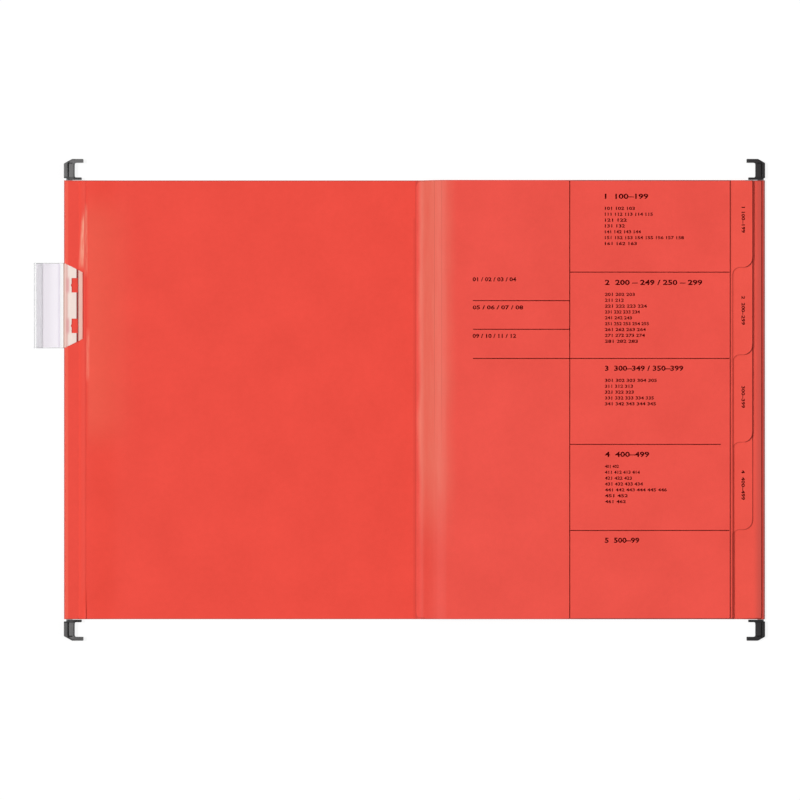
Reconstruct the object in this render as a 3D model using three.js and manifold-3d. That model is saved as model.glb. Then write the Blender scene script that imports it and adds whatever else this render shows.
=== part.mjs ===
// A hanging file of red card, lying open with its inside up.
// Millimetres, +Z up. X runs across the fold, Y along it. The origin is on the underside of the
// spine, halfway along the fold. The front cover lies at -X and the back cover at +X.
import * as THREE from 'three';
import { mergeVertices } from 'three/addons/utils/BufferGeometryUtils.js';
import Module from 'manifold-3d';

const wasm = await Module();
wasm.setup();

// Cover card
const cardThick = 0.45;
const coverLength = 316;
const panelReach = 252;
const spineWidth = 12;
const creaseGap = 0.3;
const hemGlueWidth = 3.15;
const hemRise = 24;
const hemBulgeRun = 2;
const hemFoldRadius = 0.7;

// Steel rails inside the hems
const railWidth = 9;
const railThick = 1;
const railRoom = 0.05;
const railSideRoom = 0.2;
const railTongueWidth = 4.6;
const railTongueLength = 9.5;

// Hooks: across is measured from the outer wall towards the fold, along from the end of the cover
const hookThick = 3.7;
const hookProud = 0.8;
const hookSeatGap = 0.3;
const hookLength = 15.4;
const hookArmReach = 14;
const hookArmDepth = 2.7;
const hookFootReach = 12.7;
const hookFootDepth = 1.8;
const hookMouthRadius = 1;
const hookChamferAcross = 5.9;
const hookChamferAlong = 3.3;
const hookWall = 1.6;
const hookInnerWall = 1.4;
const hookPocketDepth = 0.7;
const hookPocketInset = 2.6;
const hookPocketWidth = 4;

// Clear tab holder, a clip over the front hem with a pocket for a label beyond the hem
const tabLength = 61.3;
const tabHeadGap = 59.5;
const tabClearance = 0.15;
const tabPlate = 0.7;
const tabLipWidth = 0.8;
const tabLipRoom = 0.05;
const tabWall = 1.9;
const tabTaper = 6.7;
const tabPocketThick = 2.2;
const tabRim = 2.1;
const tabRidgeWidth = 6.4;
const tabRidgeHeight = 0.4;
const tabStepWidth = 4.1;
const tabStepDepth = 0.25;
const tabWindowWidth = 4.3;
const tabWindowLength = 10.4;
const tabWindowEndRoom = 4.15;
const labelWidth = 17;
const labelEndInset = 1.65;
const labelThick = 0.25;
const labelRoom = 0.15;
const labelEdgeRoom = 1.5;

// Register sheets
const sheetThick = 0.3;
const sheetTailInset = 1.5;
const sheetGap = 0.3;
const lastSheetInset = 2.2;
const stepInset = 8.8;
const stepDepth = 14.6;
const indexInset = 1.7;
const sheetCornerRadius = 2.5;
const dividerCount = 5;
const stepCount = 4;
const stepOuterRadius = 4.5;
const stepInnerRadius = 5.5;

// Creases of the register sheets: the index sheet has the first one
const bindingInset = 1.2;
const bindingFlat = 1.8;
const indexBindingWidth = 15.8;
const creasePitchX = 4;
const leafRoom = 0.5;
const creaseRise = 0.2;
const flapStartX = 0.4;
const flapInset = 0.6;

// Filing fastener on each divider, in layers above the sheet
const fastenerSetback = 17;
const holeSpacing = 80;
const fastenerRoom = 0.05;
const stripWidth = 7;
const stripEnd = 5;
const stripThick = 0.2;
const tongueWidth = 5;
const tongueThick = 0.15;
const tongueLength = 28;
const barOverhang = 2;
const barEnd = 10;
const barThick = 0.25;
const barEndRadius = 3;
const barSlotRoom = 0.4;
const lockLength = 9;
const lockThick = 0.15;
const lockWall = 0.45;
const lockSideRoom = 0.15;
const lockLipRoom = 0.9;
const lockStandOff = 12;

// Sizes that follow from those above
const halfCover = coverLength / 2;
const creaseX = spineWidth / 2;
const tunnelHeight = railThick + 2 * railRoom;
const hemLift = hookThick / 2 - tunnelHeight / 2 - cardThick;
const hemGlueTop = hemLift + 2 * cardThick;
const hemTop = hemGlueTop + tunnelHeight;
const tunnelOuter = panelReach - cardThick;
const tunnelInner = tunnelOuter - railWidth - 2 * railSideRoom;
const hemInner = tunnelInner - hemBulgeRun - hemGlueWidth;
const railBottom = hemLift + cardThick + railRoom;
const hookOuter = panelReach + hookProud;
const hookWebWidth = hookWall + railTongueWidth + hookInnerWall;
const tabPlateBottom = hemTop + tabClearance;
const tabPlateTop = tabPlateBottom + tabPlate;
const tabFootTop = hemLift - tabClearance;
const tabFootBottom = tabFootTop - tabPlate;
const tabLipOuter = tunnelInner - hemBulgeRun - tabLipRoom;
const tabClipReach = tabLipOuter - tabLipWidth;
const tabStepReach = tabClipReach + tabStepWidth;
const tabWallInner = panelReach + 2 * tabClearance;
const tabWallOuter = tabWallInner + tabWall;
const tabMidZ = (tabFootBottom + tabPlateTop) / 2;
const tabHeadY = halfCover - tabHeadGap;
const tabTailY = tabHeadY - tabLength;
const labelInner = tabWallOuter + labelEdgeRoom;
const labelOuter = labelInner + labelWidth;
const tabReach = labelOuter + tabRim;
const sheetHeadY = halfCover;
const sheetTailY = sheetTailInset - halfCover;
const sheetMidY = (sheetHeadY + sheetTailY) / 2;
const stepPitch = (sheetHeadY - sheetTailY) / dividerCount;
const lastReach = panelReach - lastSheetInset;
const stepReach = panelReach - stepInset;
const bodyReach = stepReach - stepDepth;
const indexReach = bodyReach - indexInset;
const bindingStartX = creaseX + bindingInset;
const firstCreaseX = bindingStartX + indexBindingWidth;
const fastenerX = firstCreaseX + creasePitchX * dividerCount + fastenerSetback;
const lowestSheetZ = cardThick + sheetGap;
const lowestSheetHemZ = hemTop + sheetGap;
const outerPitchZ = sheetThick + sheetGap;
const stripLength = holeSpacing + 2 * stripEnd;
const stripTop = fastenerRoom + stripThick;
const barWidth = stripWidth + 2 * barOverhang;
const barLength = holeSpacing + 2 * barEnd;
const barBottom = stripTop + fastenerRoom;
const barTop = barBottom + barThick;
const tongueBottom = barTop + fastenerRoom;
const tongueTop = tongueBottom + tongueThick;
const lockPlateBottom = tongueTop + fastenerRoom;
const lockTop = lockPlateBottom + lockThick;
const creasePitchZ = sheetThick + lockTop + leafRoom;

// Finishes
const cardRed = { color: 0xe84e40, roughness: 0.55, metalness: 0 };
const sheetRed = { color: 0xe95a4b, roughness: 0.5, metalness: 0 };
const hookGrey = { color: 0x4b4a4a, roughness: 0.45, metalness: 0 };
const railSteel = { color: 0xb4b6b8, roughness: 0.35, metalness: 1 };
const lockSteel = { color: 0xc6c3b8, roughness: 0.3, metalness: 1 };
const clearPlastic = { color: 0xeef0f2, roughness: 0.12, transparent: true, opacity: 0.35 };
const labelWhite = { color: 0xf1eef4, roughness: 0.8, metalness: 0 };

const model = new THREE.Group();

/** Adds a named mesh with its own material to a group. */
function addPiece(group, name, geometry, finish) {
  const mesh = new THREE.Mesh(geometry, new THREE.MeshStandardMaterial(finish));
  mesh.name = name;
  group.add(mesh);
}

/** A box between two corners. */
function block(x0, x1, y0, y1, z0, z1) {
  const geometry = new THREE.BoxGeometry(Math.abs(x1 - x0), Math.abs(y1 - y0), Math.abs(z1 - z0));
  return geometry.translate((x0 + x1) / 2, (y0 + y1) / 2, (z0 + z1) / 2);
}

/** A flat outline in X and Y with a thickness from z0 to z1. */
function plate(outline, z0, z1) {
  const options = { depth: z1 - z0, bevelEnabled: false, curveSegments: 6 };
  return new THREE.ExtrudeGeometry(outline, options).translate(0, 0, z0);
}

/** A section in X and Z, run along Y from y0 to y1. */
function runAlongY(section, y0, y1) {
  const options = { depth: y1 - y0, bevelEnabled: false, curveSegments: 6 };
  const geometry = new THREE.ExtrudeGeometry(section, options);
  return geometry.rotateX(Math.PI / 2).translate(0, y1, 0);
}

/** A closed outline through a list of points, mirrored and run the other way where side is -1. */
function outlineOf(points, side = 1) {
  const placed = points.map(([x, y]) => new THREE.Vector2(side * x, y));
  return new THREE.Shape(side < 0 ? placed.reverse() : placed);
}

/** Points on an arc, angles in quarter turns. */
function arc(centreX, centreY, radius, from, to, steps = 4) {
  const points = [];
  for (let i = 0; i <= steps; i += 1) {
    const angle = (from + ((to - from) * i) / steps) * (Math.PI / 2);
    points.push([centreX + radius * Math.cos(angle), centreY + radius * Math.sin(angle)]);
  }
  return points;
}

/** The solid of a closed geometry. */
function solidOf(geometry) {
  const bare = geometry.clone();
  bare.deleteAttribute('normal');
  bare.deleteAttribute('uv');
  const merged = mergeVertices(bare, 1e-4);
  const vertProperties = new Float32Array(merged.attributes.position.array);
  const triVerts = new Uint32Array(merged.index.array);
  return new wasm.Manifold(new wasm.Mesh({ numProp: 3, vertProperties, triVerts }));
}

/** The geometry of a solid. */
function geometryOf(solid) {
  const mesh = solid.getMesh();
  const geometry = new THREE.BufferGeometry();
  const corners = new Float32Array(mesh.vertProperties);
  geometry.setAttribute('position', new THREE.BufferAttribute(corners, 3));
  geometry.setIndex(new THREE.BufferAttribute(new Uint32Array(mesh.triVerts), 1));
  const loose = geometry.toNonIndexed();
  loose.computeVertexNormals();
  return loose;
}

/** The first geometry with the others joined on. */
function join(first, ...others) {
  return geometryOf(others.reduce((solid, other) => solid.add(solidOf(other)), solidOf(first)));
}

/** The first geometry with the others cut away. */
function cut(first, ...others) {
  return geometryOf(others.reduce((solid, other) => solid.subtract(solidOf(other)), solidOf(first)));
}

/** A cover panel: flat card that rises to a hem, folded round a tunnel for the rail. */
function panelGeometry(side) {
  const inner = creaseX + creaseGap;
  const riseStart = hemInner - hemRise;
  const foldX = panelReach - hemFoldRadius;
  const section = outlineOf([
    [inner, 0],
    [riseStart, 0],
    [hemInner, hemLift],
    ...arc(foldX, hemLift + hemFoldRadius, hemFoldRadius, -1, 0),
    ...arc(foldX, hemTop - hemFoldRadius, hemFoldRadius, 0, 1),
    [tunnelInner, hemTop],
    [tunnelInner - hemBulgeRun, hemGlueTop],
    [hemInner, hemGlueTop],
    [hemInner, hemLift + cardThick],
    [riseStart, cardThick],
    [inner, cardThick],
  ], side);
  const floor = hemLift + cardThick;
  const tunnel = block(
    side * tunnelInner, side * tunnelOuter, -halfCover - 1, halfCover + 1, floor, floor + tunnelHeight,
  );
  return cut(runAlongY(section, -halfCover, halfCover), tunnel);
}

/** A flat steel rail with a narrow tongue at both ends, each swollen by room all round. */
function railGeometry(side, room = 0) {
  const inner = tunnelInner + railSideRoom - room;
  const outer = tunnelOuter - railSideRoom + room;
  const tongueOuter = hookOuter - hookWall + room;
  const tongueInner = hookOuter - hookWall - railTongueWidth - room;
  const shoulder = halfCover + room;
  const tip = halfCover + railTongueLength + room;
  const outline = outlineOf([
    [inner, -shoulder],
    [tongueInner, -shoulder],
    [tongueInner, -tip],
    [tongueOuter, -tip],
    [tongueOuter, -shoulder],
    [outer, -shoulder],
    [outer, shoulder],
    [tongueOuter, shoulder],
    [tongueOuter, tip],
    [tongueInner, tip],
    [tongueInner, shoulder],
    [inner, shoulder],
  ], side);
  return plate(outline, railBottom - room, railBottom + railThick + room);
}

/** A hook: an open jaw with a socket for the rail's tongue and a shallow pocket in its web. */
function hookGeometry(side, end) {
  const at = ([across, along]) => [side * (hookOuter - across), end * (halfCover + along)];
  const mouthTop = hookLength - hookArmDepth;
  const mouthBottom = hookSeatGap + hookFootDepth;
  const roundX = hookWebWidth + hookMouthRadius;
  const outline = outlineOf([
    [0, hookSeatGap],
    [0, hookLength - hookChamferAlong],
    [hookChamferAcross, hookLength],
    [hookArmReach, hookLength],
    [hookArmReach, mouthTop],
    ...arc(roundX, mouthTop - hookMouthRadius, hookMouthRadius, 1, 2),
    ...arc(roundX, mouthBottom + hookMouthRadius, hookMouthRadius, 2, 3),
    [hookFootReach, mouthBottom],
    [hookFootReach, hookSeatGap],
  ].map(at));
  const [pocketX0, pocketY0] = at([hookPocketInset, mouthBottom + railRoom]);
  const [pocketX1, pocketY1] = at([hookPocketInset + hookPocketWidth, mouthTop]);
  const pocketFloor = hookThick - hookPocketDepth;
  const pocket = block(pocketX0, pocketX1, pocketY0, pocketY1, pocketFloor, hookThick + 1);
  return cut(plate(outline, 0, hookThick), railGeometry(side, railRoom), pocket);
}

/** The tab holder: a clip round the front hem and a flat pocket for the label beyond it. */
function tabHolderGeometry() {
  const ridgeStart = tabReach - tabRidgeWidth;
  const pocketTop = tabMidZ + tabPocketThick / 2;
  const pocketBottom = tabMidZ - tabPocketThick / 2;
  const lipBottom = hemGlueTop + 2 * tabClearance;
  const section = outlineOf([
    [tabClipReach, lipBottom],
    [tabClipReach, tabPlateTop - tabStepDepth],
    [tabStepReach, tabPlateTop - tabStepDepth],
    [tabStepReach, tabPlateTop],
    [tabWallOuter, tabPlateTop],
    [tabWallOuter, pocketTop],
    [ridgeStart, pocketTop],
    [ridgeStart, pocketTop + tabRidgeHeight],
    [tabReach, pocketTop + tabRidgeHeight],
    [tabReach, pocketBottom],
    [tabWallOuter, pocketBottom],
    [tabWallInner, tabFootBottom],
    [tabLipOuter, tabFootBottom],
    [tabLipOuter, tabFootTop],
    [tabWallInner, tabFootTop],
    [tabWallInner, tabPlateBottom],
    [tabLipOuter, tabPlateBottom],
    [tabLipOuter, lipBottom],
  ], -1);
  const slotHalf = labelThick / 2 + labelRoom;
  const slotBottom = tabMidZ - slotHalf;
  const slotTop = tabMidZ + slotHalf;
  const slotOuter = -labelOuter - labelRoom;
  const slotInner = labelRoom - labelInner;
  const slot = block(slotOuter, slotInner, tabTailY - 1, tabHeadY + 1, slotBottom, slotTop);
  const ends = [[tabTailY, 1], [tabHeadY, -1]];
  const trims = ends.map(([endY, inward]) => plate(outlineOf([
    [tabWallInner, endY],
    [tabClipReach - 1, endY + inward * tabTaper],
    [tabClipReach - 1, endY - inward],
    [tabWallInner, endY - inward],
  ], -1), tabFootBottom - 1, tabPlateTop + 1));
  const windows = ends.map(([endY, inward]) => {
    const near = endY + inward * (tabTaper + tabWindowEndRoom);
    const far = near + inward * tabWindowLength;
    return block(-tabStepReach - tabWindowWidth, -tabStepReach, near, far, hemTop, tabPlateTop + 1);
  });
  return cut(runAlongY(section, tabTailY, tabHeadY), slot, ...trims, ...windows);
}

/** The blank label in the middle of the holder's pocket. */
function labelGeometry() {
  const low = tabTailY + labelEndInset;
  const high = tabHeadY - labelEndInset;
  const half = labelThick / 2;
  return block(-labelOuter, -labelInner, low, high, tabMidZ - half, tabMidZ + half);
}

/** Where sheet n turns: its crease, the underside of the sheet there, and its slope at rest. */
function creaseOf(n) {
  const fromBottom = dividerCount - n;
  const x = firstCreaseX + creasePitchX * n;
  const under = lowestSheetZ + creasePitchZ * fromBottom;
  const underAtHem = lowestSheetHemZ + outerPitchZ * fromBottom;
  return { x, under, slope: Math.atan2(underAtHem - under, hemInner - x), fromBottom };
}

/** Carries an outline along y to a rounded corner at x, where it turns towards the head. */
function roundOut(shape, x, y, radius) {
  shape.lineTo(x - radius, y);
  shape.absarc(x - radius, y + radius, radius, -Math.PI / 2, 0);
}

/** A register sheet's outline, measured from its crease; steps narrow it below its own tab. */
function sheetOutline(n) {
  const { x: crease, slope } = creaseOf(n);
  const from = (reach) => (reach - crease) / Math.cos(slope);
  const reach = n === 0 ? indexReach : lastReach;
  const shape = new THREE.Shape();
  shape.moveTo(creaseGap, sheetTailY);
  if (n > 0 && n <= stepCount) {
    const stepY = sheetHeadY - stepPitch * n;
    const body = from(bodyReach);
    const tab = from(stepReach);
    roundOut(shape, body, sheetTailY, sheetCornerRadius);
    shape.lineTo(body, stepY - stepInnerRadius);
    const innerX = body + stepInnerRadius;
    shape.absarc(innerX, stepY - stepInnerRadius, stepInnerRadius, Math.PI, Math.PI / 2, true);
    roundOut(shape, tab, stepY, stepOuterRadius);
    shape.lineTo(tab, sheetHeadY);
  } else {
    roundOut(shape, from(reach), sheetTailY, sheetCornerRadius);
    shape.lineTo(from(reach), sheetHeadY);
  }
  shape.lineTo(creaseGap, sheetHeadY);
  return shape;
}

/** The margin of sheet n, glued down beside the spine and sloping up to the crease. */
function bindingGeometry(n) {
  const { x, under, fromBottom } = creaseOf(n);
  const glued = cardThick + sheetThick * fromBottom;
  const bendX = bindingStartX + bindingFlat;
  const section = outlineOf([
    [bindingStartX, glued],
    [bendX, glued],
    [x - creaseGap, under],
    [x - creaseGap, under + sheetThick],
    [bendX, glued + sheetThick],
    [bindingStartX, glued + sheetThick],
  ]);
  return runAlongY(section, sheetTailY, sheetHeadY);
}

/** The tongue strip: a flat base with two tongues, bent up and folded in over the bar. */
function tongueStripGeometry(x, y) {
  const across = stripWidth / 2;
  const along = stripLength / 2;
  const base = block(x - across, x + across, y - along, y + along, fastenerRoom, stripTop);
  const half = tongueWidth / 2;
  const tongues = [-1, 1].flatMap((end) => {
    const rootY = y + (end * holeSpacing) / 2;
    const tipY = rootY - end * (tongueLength - half);
    const rising = block(x - half, x + half, rootY, rootY + end * stripThick, fastenerRoom, tongueTop);
    const tip = arc(x, tipY, half, end > 0 ? 2 : 0, end > 0 ? 4 : 2, 6);
    const first = end > 0 ? x + half : x - half;
    const farY = rootY + end * stripThick;
    const outline = outlineOf([...tip, [first, farY], [2 * x - first, farY]]);
    return [rising, plate(outline, tongueBottom, tongueTop)];
  });
  return join(base, ...tongues);
}

/** The cover bar: a flat strip with rounded ends and a slot for each tongue. */
function coverBarGeometry(x, y) {
  const across = barWidth / 2 - barEndRadius;
  const along = barLength / 2 - barEndRadius;
  const outline = outlineOf([
    ...arc(x + across, y + along, barEndRadius, 0, 1),
    ...arc(x - across, y + along, barEndRadius, 1, 2),
    ...arc(x - across, y - along, barEndRadius, 2, 3),
    ...arc(x + across, y - along, barEndRadius, 3, 4),
  ]);
  for (const end of [-1, 1]) {
    const rootY = y + (end * holeSpacing) / 2;
    const slotY0 = rootY - barSlotRoom;
    const slotY1 = rootY + barSlotRoom;
    const shift = (end * stripThick) / 2;
    const half = tongueWidth / 2 + barSlotRoom;
    outline.holes.push(outlineOf([
      [x - half, slotY0 + shift],
      [x + half, slotY0 + shift],
      [x + half, slotY1 + shift],
      [x - half, slotY1 + shift],
    ]));
  }
  return plate(outline, barBottom, barTop);
}

/** A sliding lock: a channel over the bar and tongue, with lips under the edges of the bar. */
function lockGeometry(x, y, end) {
  const inner = barWidth / 2 + lockSideRoom;
  const outer = inner + lockWall;
  const lip = stripWidth / 2 + lockLipRoom;
  const lipTop = barBottom - fastenerRoom;
  const lipBottom = lipTop - lockThick;
  const section = outlineOf([
    [x - outer, lipBottom],
    [x - lip, lipBottom],
    [x - lip, lipTop],
    [x - inner, lipTop],
    [x - inner, lockPlateBottom],
    [x + inner, lockPlateBottom],
    [x + inner, lipTop],
    [x + lip, lipTop],
    [x + lip, lipBottom],
    [x + outer, lipBottom],
    [x + outer, lockTop],
    [x - outer, lockTop],
  ]);
  const middle = y + end * (holeSpacing / 2 - lockStandOff);
  return runAlongY(section, middle - lockLength / 2, middle + lockLength / 2);
}

/** A sheet in its own frame, which turns at the crease, with the fastener that lies on it. */
function addSheet(n, name) {
  const { x, under, slope } = creaseOf(n);
  const leaf = new THREE.Group();
  leaf.position.set(x, 0, under + sheetThick + creaseRise);
  leaf.rotation.y = -slope;
  model.add(leaf);
  addPiece(leaf, name, plate(sheetOutline(n), -creaseRise - sheetThick, -creaseRise), sheetRed);
  if (n > 0) {
    const fastener = new THREE.Group();
    fastener.position.z = -creaseRise;
    leaf.add(fastener);
    const localX = fastenerX - x;
    addPiece(fastener, `tongue_strip_${n}`, tongueStripGeometry(localX, sheetMidY), railSteel);
    addPiece(fastener, `cover_bar_${n}`, coverBarGeometry(localX, sheetMidY), lockSteel);
    addPiece(fastener, `lock_head_${n}`, lockGeometry(localX, sheetMidY, 1), lockSteel);
    addPiece(fastener, `lock_tail_${n}`, lockGeometry(localX, sheetMidY, -1), lockSteel);
  }
}

// The cover: two panels and the spine between their creases
const spineHalf = creaseX - creaseGap;
addPiece(model, 'spine_strip', block(-spineHalf, spineHalf, -halfCover, halfCover, 0, cardThick), cardRed);
for (const [cover, side] of [['front', -1], ['back', 1]]) {
  addPiece(model, `${cover}_panel`, panelGeometry(side), cardRed);
  addPiece(model, `${cover}_rail`, railGeometry(side), railSteel);
  addPiece(model, `${cover}_head_hook`, hookGeometry(side, 1), hookGrey);
  addPiece(model, `${cover}_tail_hook`, hookGeometry(side, -1), hookGrey);
}

// The tab on the front hem
addPiece(model, 'tab_holder', tabHolderGeometry(), clearPlastic);
addPiece(model, 'tab_label', labelGeometry(), labelWhite);

// The register: the index sheet on top, then the dividers, each with its own glued margin
const flapEndX = creaseX - flapInset;
const flap = block(flapStartX, flapEndX, sheetTailY, sheetHeadY, cardThick, cardThick + sheetThick);
addPiece(model, 'index_glue_flap', flap, sheetRed);
for (let n = 0; n <= dividerCount; n += 1) {
  addSheet(n, n === 0 ? 'index_sheet' : `divider_${n}`);
  addPiece(model, n === 0 ? 'index_binding' : `binding_${n}`, bindingGeometry(n), sheetRed);
}

export default model;
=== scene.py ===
import math

import bmesh
import bpy
import numpy as np
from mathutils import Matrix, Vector
from mathutils.geometry import tessellate_polygon


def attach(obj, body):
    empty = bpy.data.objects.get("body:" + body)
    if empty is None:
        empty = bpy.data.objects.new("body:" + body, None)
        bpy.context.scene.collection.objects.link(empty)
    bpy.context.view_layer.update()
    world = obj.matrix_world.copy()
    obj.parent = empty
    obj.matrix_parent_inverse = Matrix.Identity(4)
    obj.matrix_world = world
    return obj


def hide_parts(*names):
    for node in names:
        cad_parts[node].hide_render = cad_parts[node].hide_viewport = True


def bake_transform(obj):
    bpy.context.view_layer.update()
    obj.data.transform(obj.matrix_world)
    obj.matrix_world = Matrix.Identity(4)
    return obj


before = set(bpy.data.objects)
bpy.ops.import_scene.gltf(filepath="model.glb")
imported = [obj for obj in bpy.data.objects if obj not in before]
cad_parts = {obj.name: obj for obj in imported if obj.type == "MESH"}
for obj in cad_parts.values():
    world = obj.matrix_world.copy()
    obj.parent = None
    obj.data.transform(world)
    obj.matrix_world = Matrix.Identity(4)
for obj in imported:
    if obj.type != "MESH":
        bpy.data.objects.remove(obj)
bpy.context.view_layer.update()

# Pieces are in millimetres, in the frame's own axes, until make_piece writes their meshes. The
# lamps and the camera are in metres.
MM = 0.001
WHITE = (1.0, 1.0, 1.0, 1.0)

# Attributes that a mesh keeps for its material: its points' places at rest, and their distances
# from a sheet's edge, up to a reach, which place the painted shadow along its cut edges
REST = "rest_mm"
RIM = "rim_mm"
RIM_REACH = 3.0

# How far an outline runs on past a hidden edge, so that the edge isn't shaded
HIDDEN_WIDTH = 10.0

# Half the width of every bend at a crease
BEND = 0.6

# Cover card, across from the fold: the seam of its two halves on the spine, the crease, the rise to
# the hem, and the hem with its tunnel for the rail
CARD = 0.45
HALF_COVER = 158.0
SPINE_SEAM_X = 3.0
CREASE_X = 6.0
RISE_START = 213.0
HEM_INNER = 237.0
TUNNEL_INNER = 242.15
HEM_OUTER = 252.0
FRONT_HEM_ROLL = 0.7
HEM_LIFT = 0.85
HEM_GLUE_TOP = 1.75
HEM_TOP = 2.85

# The hem's flange: the steep part of its drop from the tunnel. Its free edge presses into the card
# below over a width, until a place along the file, and lifts at the tail over another width
DROP_START = 243.2
DROP_END = 239.2
FLANGE_PRESS = 0.3
PRESS_WIDTH = 1.6
PRESS_END_Y = -132.0
PRESS_FADE = 12.0
FLANGE_LIFT = 0.55
LIFT_WIDTH = 3.2
LIFT_START_Y = -138.0
LIFT_RUN = 18.0

# Register sheets. The index sheet is number 0, and the dividers lie below it in their order
SHEET = 0.3
DIVIDERS = 5
HEAD_Y = 158.0
TAIL_Y = -157.6
FLAP_START = 0.4
MARGIN_START = 7.2
GLUED_END = 9.0
FIRST_CREASE = 23.0
CREASE_STEP_X = 4.0
CREASE_STEP_Z = 1.75
LOWEST_SHEET = 0.75
LOWEST_AT_HEM = 3.15
HEM_STEP_Z = 0.6
INDEX_REACH = 226.9
BODY_REACH = 228.6
TAB_REACH = 243.2
LAST_REACH = 249.8
STEP_LENGTH = 62.9
STEP_OUTER = 7.0
STEP_INNER = 5.2
CORNER = 1.3

# The index sheet's margin, which swells up from the spine: distance from the fold, height
INDEX_SWELL = [
    (0, 0.6), (3.2, 0.6), (5.4, 1.0), (6.6, 1.65), (8, 2.75),
    (10, 4.5), (13, 6.5), (16, 8.0), (19, 9.0), (21.5, 9.5),
]

# A place past every sheet, and half the width of the running mean that smooths their heights
FAR_X = 300.0
SMOOTHING = 0.6

# A sheet's even rows in all, with at least FEW_ROWS below the step, and the distances of its extra
# rows from its cut ends and from a tab's lower edge
SHEET_ROWS = 64
FEW_ROWS = 4
END_ROWS = np.array([0.1, 0.4, 0.8])
STEP_ROWS = np.array([0.12, 0.3, 0.55, 0.85, 1.4])

# Hooks: across is measured in from the outer wall, along from the end of the cover. The tip's bevel
# starts at the outer wall and rises by its slope.
HOOK_OUTER = 252.8
HOOK_THICK = 3.7
HOOK_EDGE = 0.25
GROOVE_DEPTH = 1.1
BEVEL_START = 12.1
BEVEL_SLOPE = 0.56

# Tab holder: its ends, how far they run in towards the fold and over what width, and the plate of
# its clip, which is square between two rows and has two windows, with a notch at mid length on
# either side. The pocket goes through from end to end, and the label lies in it.
TAB_TAIL = 37.2
TAB_HEAD = 98.5
TAB_TAPER = 6.7
TAPER_START = -252.3
TAPER_WIDTH = 13.0
SQUARE_FROM = 45.5
SQUARE_TO = 90.2
PLATE_UNDER = 3.0
PLATE_TOP = 3.7
WINDOW_NEAR = -242.7
WINDOW_FAR = -247.2
WINDOWS = ((48.05, 58.45), (77.25, 87.65))
WINDOW_NOTCH = 0.6
POCKET_X = (-272.85, -255.55)
POCKET_Z = (1.575, 2.125)
LABEL_X = (-272.7, -255.7)
LABEL_Y = (37.8, 97.9)
LABEL_Z = (1.725, 1.975)

# The photograph's scale: a pixel is this many millimetres, and the fold's middle lies at this pixel
PIXEL = 0.72
FOLD_PX = 415.0
MIDDLE_PY = 399.8


def across(px):
    """The X of a pixel column of the photograph."""
    return (px - FOLD_PX) * PIXEL


def along(py):
    """The Y of a pixel row of the photograph."""
    return (MIDDLE_PY - py) * PIXEL


def smooth(t):
    """3t^2 - 2t^3 between 0 and 1, level outside."""
    t = np.clip(t, 0, 1)
    return t * t * (3 - 2 * t)


# Meshes


def oblong(x0, x1, y0, y1):
    """The corners of an upright rectangle, anticlockwise."""
    return np.array([[x0, y0], [x1, y0], [x1, y1], [x0, y1]], float)


def spaced(start, *legs):
    """Places from a start along legs, each given as its end and the number of its even steps."""
    places = [np.array([start])]
    for end, steps in legs:
        places.append(np.linspace(places[-1][-1], end, steps + 1)[1:])
    return np.concatenate(places)


def grid_faces(index, flip=False):
    """Quads between the neighbours of a rectangular array of vertex numbers."""
    quads = np.stack([index[:-1, :-1], index[1:, :-1], index[1:, 1:], index[:-1, 1:]], -1)
    quads = quads.reshape(-1, 4)
    return quads[:, ::-1] if flip else quads


def ring_faces(index, flip=False):
    """Quads between closed rings of vertex numbers, one ring a row."""
    return grid_faces(np.concatenate([index, index[:, :1]], 1), flip)


class Shell:
    """Points and faces gathered for one mesh."""

    def __init__(self):
        self.points = []
        self.faces = []
        self.count = 0

    def add(self, points):
        """Keeps an array of points and returns their numbers in the same arrangement."""
        flat = np.asarray(points, float).reshape(-1, 3)
        numbers = np.arange(len(flat)).reshape(np.shape(points)[:-1]) + self.count
        self.points.append(flat)
        self.count += len(flat)
        return numbers

    def quads(self, faces):
        """Keeps an array of faces."""
        self.faces += np.asarray(faces).tolist()

    def lid(self, loops, facing):
        """Triangles over a flat region inside the first loop and outside the others.

        They turn to the side that the vector facing points to."""
        points = np.concatenate(self.points)
        flat = np.concatenate(loops)
        corners = [[Vector(points[i]) for i in loop] for loop in loops]
        found = np.array(tessellate_polygon(corners))
        a, b, c = (points[flat[found[:, k]]] for k in range(3))
        normals = np.cross(b - a, c - a)
        wide = np.linalg.norm(normals, axis=1) > 1e-9
        if (normals.sum(0) * np.asarray(facing)).sum() < 0:
            found = found[:, ::-1]
        self.quads(flat[found[wide]])

    def joined(self):
        """All the points as one array."""
        return np.concatenate(self.points)


def added(name, data):
    """A new object with this data, put in the scene."""
    made = bpy.data.objects.new(name, data)
    bpy.context.scene.collection.objects.link(made)
    return made


def make_piece(name, points, faces, finish, sharp=50, rest=False):
    """A mesh piece from points in millimetres.

    Edges that turn by more than sharp degrees stay crisp. With rest, the points' own places are
    kept as an attribute, so that a pattern stays on a piece that bends."""
    mesh = bpy.data.meshes.new(name)
    mesh.from_pydata((np.asarray(points) * MM).tolist(), [], faces)
    mesh.update()
    mesh.polygons.foreach_set("use_smooth", np.ones(len(mesh.polygons), bool))
    mesh.set_sharp_from_angle(angle=math.radians(sharp))
    if rest:
        kept = mesh.attributes.new(REST, "FLOAT_VECTOR", "POINT")
        kept.data.foreach_set("vector", np.asarray(points, np.float32).ravel())
    mesh.materials.append(finish)
    return added(name, mesh)


def face_outwards(piece, sharp):
    """Turns every face of a closed piece to point out of it, and finds its crisp edges anew."""
    gathered = bmesh.new()
    gathered.from_mesh(piece.data)
    bmesh.ops.recalc_face_normals(gathered, faces=gathered.faces)
    gathered.to_mesh(piece.data)
    gathered.free()
    piece.data.set_sharp_from_angle(angle=math.radians(sharp))


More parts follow.
